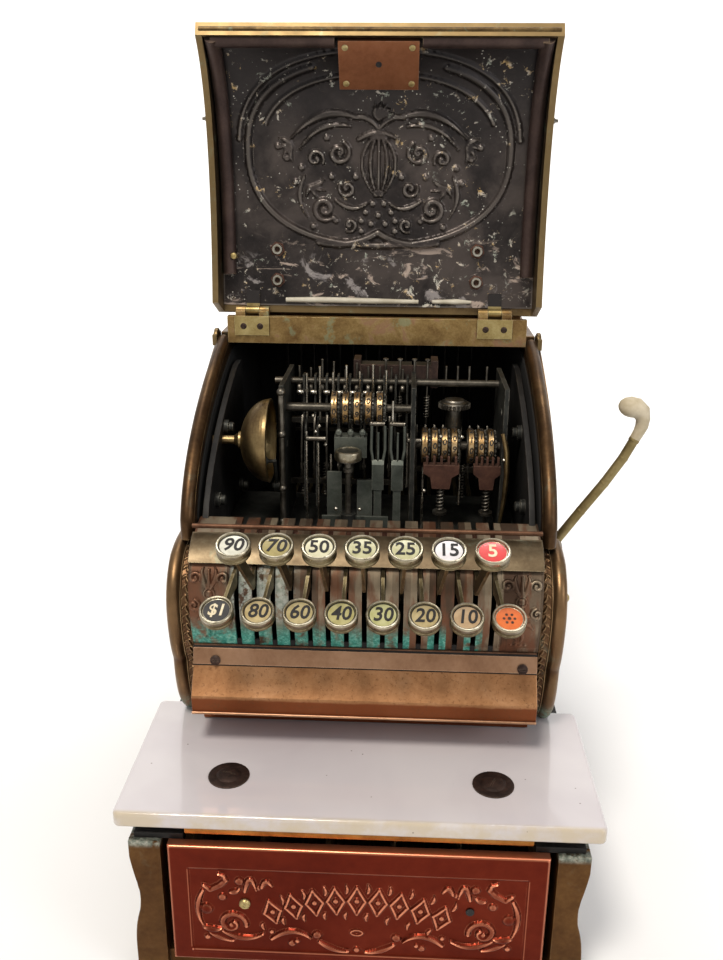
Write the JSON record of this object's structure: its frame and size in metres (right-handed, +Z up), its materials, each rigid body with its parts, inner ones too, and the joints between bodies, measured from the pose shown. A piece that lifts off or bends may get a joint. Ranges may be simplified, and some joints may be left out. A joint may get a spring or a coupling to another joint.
{
  "type": "cash register",
  "caption": "Small antique counter cash register: numbered push keys, lifting lid over an adding mechanism, pop-up price flags and a till drawer under a white coin slab.",
  "frame": {"origin": "middle of the flat underside of the bottom board", "axes": "+X to the clerk's right, +Y towards the customer's side at the back, +Z up; the keys and the drawer face -Y"},
  "size_m": [0.3211, 0.396, 0.5545],
  "materials": {
    "aged_brass": "aged brown brass, worn bright along its edges",
    "black_iron": "black japanned iron",
    "white_glass": "polished white milk glass",
    "dark_screws": "rusted steel",
    "worn_nickel": "nickel plate worn through to brown brass",
    "copper": "copper-coloured plate, semi-gloss",
    "yellow_brass": "mottled yellow brass",
    "window_glass": "clear glass",
    "dark_steel": "oily grey steel",
    "black_brass": "blackened brass, worn and speckled",
    "key_metal": "dull nickel-plated brass",
    "flag_enamel": "white enamel",
    "tray_wood": "varnished oak",
    "pale_brass": "pale worn plated brass",
    "ivory": "yellowed ivory-coloured grip"
  },
  "bodies": {
    "cabinet": {"base_frame": "aged_brass", "deck_frame": "black_iron", "slab": "white_glass", "fixed_screws": "dark_screws", "cheek_left": "aged_brass", "cheek_right": "aged_brass", "side_left": "aged_brass", "side_right": "aged_brass", "slot_plate": "worn_nickel", "keyboard_rail": "worn_nickel", "kick_rail": "copper", "hinge_bar": "yellow_brass", "rear_cover": "aged_brass", "indicator_box": "aged_brass", "window_glass": "window_glass", "mech_frame": "black_iron", "key_shaft": "dark_steel", "cross_rods": "dark_steel", "bell": "yellow_brass"},
    "lid": {"lid_shell": "black_brass", "lid_hinges": "yellow_brass", "lock_case": "copper"},
    "drawer": {"drawer_front": "copper", "drawer_tray": "tray_wood"},
    "bell_hammer": {"bell_hammer": "dark_steel"},
    "wheels_left": {"wheels_left": "yellow_brass"},
    "wheels_right": {"wheels_right": "yellow_brass"},
    "reset_plunger": {"reset_plunger": "worn_nickel"},
    "side_lever": {"side_lever": "pale_brass", "lever_grip": "ivory"},
    "key_100": {"key_100": "key_metal"},
    "flag_100": {"flag_100": "flag_enamel"},
    "key_90": {"key_90": "key_metal"},
    "flag_90": {"flag_90": "flag_enamel"},
    "key_80": {"key_80": "key_metal"},
    "flag_80": {"flag_80": "flag_enamel"},
    "key_70": {"key_70": "key_metal"},
    "flag_70": {"flag_70": "flag_enamel"},
    "key_60": {"key_60": "key_metal"},
    "flag_60": {"flag_60": "flag_enamel"},
    "key_50": {"key_50": "key_metal"},
    "flag_50": {"flag_50": "flag_enamel"},
    "key_40": {"key_40": "key_metal"},
    "flag_40": {"flag_40": "flag_enamel"},
    "key_35": {"key_35": "key_metal"},
    "flag_35": {"flag_35": "flag_enamel"},
    "key_30": {"key_30": "key_metal"},
    "flag_30": {"flag_30": "flag_enamel"},
    "key_25": {"key_25": "key_metal"},
    "flag_25": {"flag_25": "flag_enamel"},
    "key_20": {"key_20": "key_metal"},
    "flag_20": {"flag_20": "flag_enamel"},
    "key_15": {"key_15": "key_metal"},
    "flag_15": {"flag_15": "flag_enamel"},
    "key_10": {"key_10": "key_metal"},
    "flag_10": {"flag_10": "flag_enamel"},
    "key_5": {"key_5": "key_metal"},
    "flag_5": {"flag_5": "flag_enamel"},
    "key_open": {"key_open": "key_metal"},
    "flag_open": {"flag_open": "flag_enamel"}
  },
  "joints": [
    {"name": "lid_hinge", "type": "hinge", "parent": "cabinet", "child": "lid", "pos_m": [0, 0.051, 0.368], "axis": [1, 0, 0], "range_deg": [0, 114.7]},
    {"name": "drawer_slide", "type": "slide", "parent": "cabinet", "child": "drawer", "axis": [0, -1, 0], "range_m": [0, 0.22]},
    {"name": "hammer_pivot", "type": "hinge", "parent": "cabinet", "child": "bell_hammer", "pos_m": [-0.064, -0.03, 0.262], "axis": [1, 0, 0], "range_deg": [0, 12], "stiffness_Nm_per_rad": 0.01, "springref_deg": -17.19},
    {"name": "wheels_left_spin", "type": "hinge", "parent": "cabinet", "child": "wheels_left", "pos_m": [0, -0.02, 0.315], "axis": [1, 0, 0], "continuous": true},
    {"name": "wheels_right_spin", "type": "hinge", "parent": "cabinet", "child": "wheels_right", "pos_m": [0.06, -0.02, 0.29], "axis": [1, 0, 0], "continuous": true},
    {"name": "reset_press", "type": "slide", "parent": "cabinet", "child": "reset_plunger", "axis": [0, 0, -1], "range_m": [0, 0.007], "stiffness_N_per_m": 150, "springref_m": -0.01},
    {"name": "side_lever_pull", "type": "hinge", "parent": "cabinet", "child": "side_lever", "pos_m": [0.125, -0.035, 0.222], "axis": [1, 0, 0], "range_deg": [0, 35], "stiffness_Nm_per_rad": 0.4, "springref_deg": -22.92},
    {"name": "key_100_press", "type": "hinge", "parent": "cabinet", "child": "key_100", "pos_m": [-0.077, -0.02, 0.205], "axis": [1, 0, 0], "range_deg": [0, 7], "stiffness_Nm_per_rad": 0.5, "springref_deg": -17.19},
    {"name": "flag_100_lift", "type": "slide", "parent": "cabinet", "child": "flag_100", "axis": [0, 0, 1], "range_m": [0, 0.0215]},
    {"name": "key_90_press", "type": "hinge", "parent": "cabinet", "child": "key_90", "pos_m": [-0.066, -0.02, 0.205], "axis": [1, 0, 0], "range_deg": [0, 7], "stiffness_Nm_per_rad": 0.5, "springref_deg": -17.19},
    {"name": "flag_90_lift", "type": "slide", "parent": "cabinet", "child": "flag_90", "axis": [0, 0, 1], "range_m": [0, 0.0215]},
    {"name": "key_80_press", "type": "hinge", "parent": "cabinet", "child": "key_80", "pos_m": [-0.055, -0.02, 0.205], "axis": [1, 0, 0], "range_deg": [0, 7], "stiffness_Nm_per_rad": 0.5, "springref_deg": -17.19},
    {"name": "flag_80_lift", "type": "slide", "parent": "cabinet", "child": "flag_80", "axis": [0, 0, 1], "range_m": [0, 0.0215]},
    {"name": "key_70_press", "type": "hinge", "parent": "cabinet", "child": "key_70", "pos_m": [-0.044, -0.02, 0.205], "axis": [1, 0, 0], "range_deg": [0, 7], "stiffness_Nm_per_rad": 0.5, "springref_deg": -17.19},
    {"name": "flag_70_lift", "type": "slide", "parent": "cabinet", "child": "flag_70", "axis": [0, 0, 1], "range_m": [0, 0.0215]},
    {"name": "key_60_press", "type": "hinge", "parent": "cabinet", "child": "key_60", "pos_m": [-0.033, -0.02, 0.205], "axis": [1, 0, 0], "range_deg": [0, 7], "stiffness_Nm_per_rad": 0.5, "springref_deg": -17.19},
    {"name": "flag_60_lift", "type": "slide", "parent": "cabinet", "child": "flag_60", "axis": [0, 0, 1], "range_m": [0, 0.0215]},
    {"name": "key_50_press", "type": "hinge", "parent": "cabinet", "child": "key_50", "pos_m": [-0.022, -0.02, 0.205], "axis": [1, 0, 0], "range_deg": [0, 7], "stiffness_Nm_per_rad": 0.5, "springref_deg": -17.19},
    {"name": "flag_50_lift", "type": "slide", "parent": "cabinet", "child": "flag_50", "axis": [0, 0, 1], "range_m": [0, 0.0215]},
    {"name": "key_40_press", "type": "hinge", "parent": "cabinet", "child": "key_40", "pos_m": [-0.011, -0.02, 0.205], "axis": [1, 0, 0], "range_deg": [0, 7], "stiffness_Nm_per_rad": 0.5, "springref_deg": -17.19},
    {"name": "flag_40_lift", "type": "slide", "parent": "cabinet", "child": "flag_40", "axis": [0, 0, 1], "range_m": [0, 0.0215]},
    {"name": "key_35_press", "type": "hinge", "parent": "cabinet", "child": "key_35", "pos_m": [0, -0.02, 0.205], "axis": [1, 0, 0], "range_deg": [0, 7], "stiffness_Nm_per_rad": 0.5, "springref_deg": -17.19},
    {"name": "flag_35_lift", "type": "slide", "parent": "cabinet", "child": "flag_35", "axis": [0, 0, 1], "range_m": [0, 0.0215]},
    {"name": "key_30_press", "type": "hinge", "parent": "cabinet", "child": "key_30", "pos_m": [0.011, -0.02, 0.205], "axis": [1, 0, 0], "range_deg": [0, 7], "stiffness_Nm_per_rad": 0.5, "springref_deg": -17.19},
    {"name": "flag_30_lift", "type": "slide", "parent": "cabinet", "child": "flag_30", "axis": [0, 0, 1], "range_m": [0, 0.0215]},
    {"name": "key_25_press", "type": "hinge", "parent": "cabinet", "child": "key_25", "pos_m": [0.022, -0.02, 0.205], "axis": [1, 0, 0], "range_deg": [0, 7], "stiffness_Nm_per_rad": 0.5, "springref_deg": -17.19},
    {"name": "flag_25_lift", "type": "slide", "parent": "cabinet", "child": "flag_25", "axis": [0, 0, 1], "range_m": [0, 0.0215]},
    {"name": "key_20_press", "type": "hinge", "parent": "cabinet", "child": "key_20", "pos_m": [0.033, -0.02, 0.205], "axis": [1, 0, 0], "range_deg": [0, 7], "stiffness_Nm_per_rad": 0.5, "springref_deg": -17.19},
    {"name": "flag_20_lift", "type": "slide", "parent": "cabinet", "child": "flag_20", "axis": [0, 0, 1], "range_m": [0, 0.0215]},
    {"name": "key_15_press", "type": "hinge", "parent": "cabinet", "child": "key_15", "pos_m": [0.044, -0.02, 0.205], "axis": [1, 0, 0], "range_deg": [0, 7], "stiffness_Nm_per_rad": 0.5, "springref_deg": -17.19},
    {"name": "flag_15_lift", "type": "slide", "parent": "cabinet", "child": "flag_15", "axis": [0, 0, 1], "range_m": [0, 0.0215]},
    {"name": "key_10_press", "type": "hinge", "parent": "cabinet", "child": "key_10", "pos_m": [0.055, -0.02, 0.205], "axis": [1, 0, 0], "range_deg": [0, 7], "stiffness_Nm_per_rad": 0.5, "springref_deg": -17.19},
    {"name": "flag_10_lift", "type": "slide", "parent": "cabinet", "child": "flag_10", "axis": [0, 0, 1], "range_m": [0, 0.0215]},
    {"name": "key_5_press", "type": "hinge", "parent": "cabinet", "child": "key_5", "pos_m": [0.066, -0.02, 0.205], "axis": [1, 0, 0], "range_deg": [0, 7], "stiffness_Nm_per_rad": 0.5, "springref_deg": -17.19},
    {"name": "flag_5_lift", "type": "slide", "parent": "cabinet", "child": "flag_5", "axis": [0, 0, 1], "range_m": [0, 0.0215]},
    {"name": "key_open_press", "type": "hinge", "parent": "cabinet", "child": "key_open", "pos_m": [0.077, -0.02, 0.205], "axis": [1, 0, 0], "range_deg": [0, 7], "stiffness_Nm_per_rad": 0.5, "springref_deg": -17.19},
    {"name": "flag_open_lift", "type": "slide", "parent": "cabinet", "child": "flag_open", "axis": [0, 0, 1], "range_m": [0, 0.0215]}
  ],
  "couplings": [
    {"joint": "flag_100_lift", "follows": "key_100_press", "m_per_rad": 0.17},
    {"joint": "flag_90_lift", "follows": "key_90_press", "m_per_rad": 0.17},
    {"joint": "flag_80_lift", "follows": "key_80_press", "m_per_rad": 0.17},
    {"joint": "flag_70_lift", "follows": "key_70_press", "m_per_rad": 0.17},
    {"joint": "flag_60_lift", "follows": "key_60_press", "m_per_rad": 0.17},
    {"joint": "flag_50_lift", "follows": "key_50_press", "m_per_rad": 0.17},
    {"joint": "flag_40_lift", "follows": "key_40_press", "m_per_rad": 0.17},
    {"joint": "flag_35_lift", "follows": "key_35_press", "m_per_rad": 0.17},
    {"joint": "flag_30_lift", "follows": "key_30_press", "m_per_rad": 0.17},
    {"joint": "flag_25_lift", "follows": "key_25_press", "m_per_rad": 0.17},
    {"joint": "flag_20_lift", "follows": "key_20_press", "m_per_rad": 0.17},
    {"joint": "flag_15_lift", "follows": "key_15_press", "m_per_rad": 0.17},
    {"joint": "flag_10_lift", "follows": "key_10_press", "m_per_rad": 0.17},
    {"joint": "flag_5_lift", "follows": "key_5_press", "m_per_rad": 0.17},
    {"joint": "flag_open_lift", "follows": "key_open_press", "m_per_rad": 0.17}
  ]
}
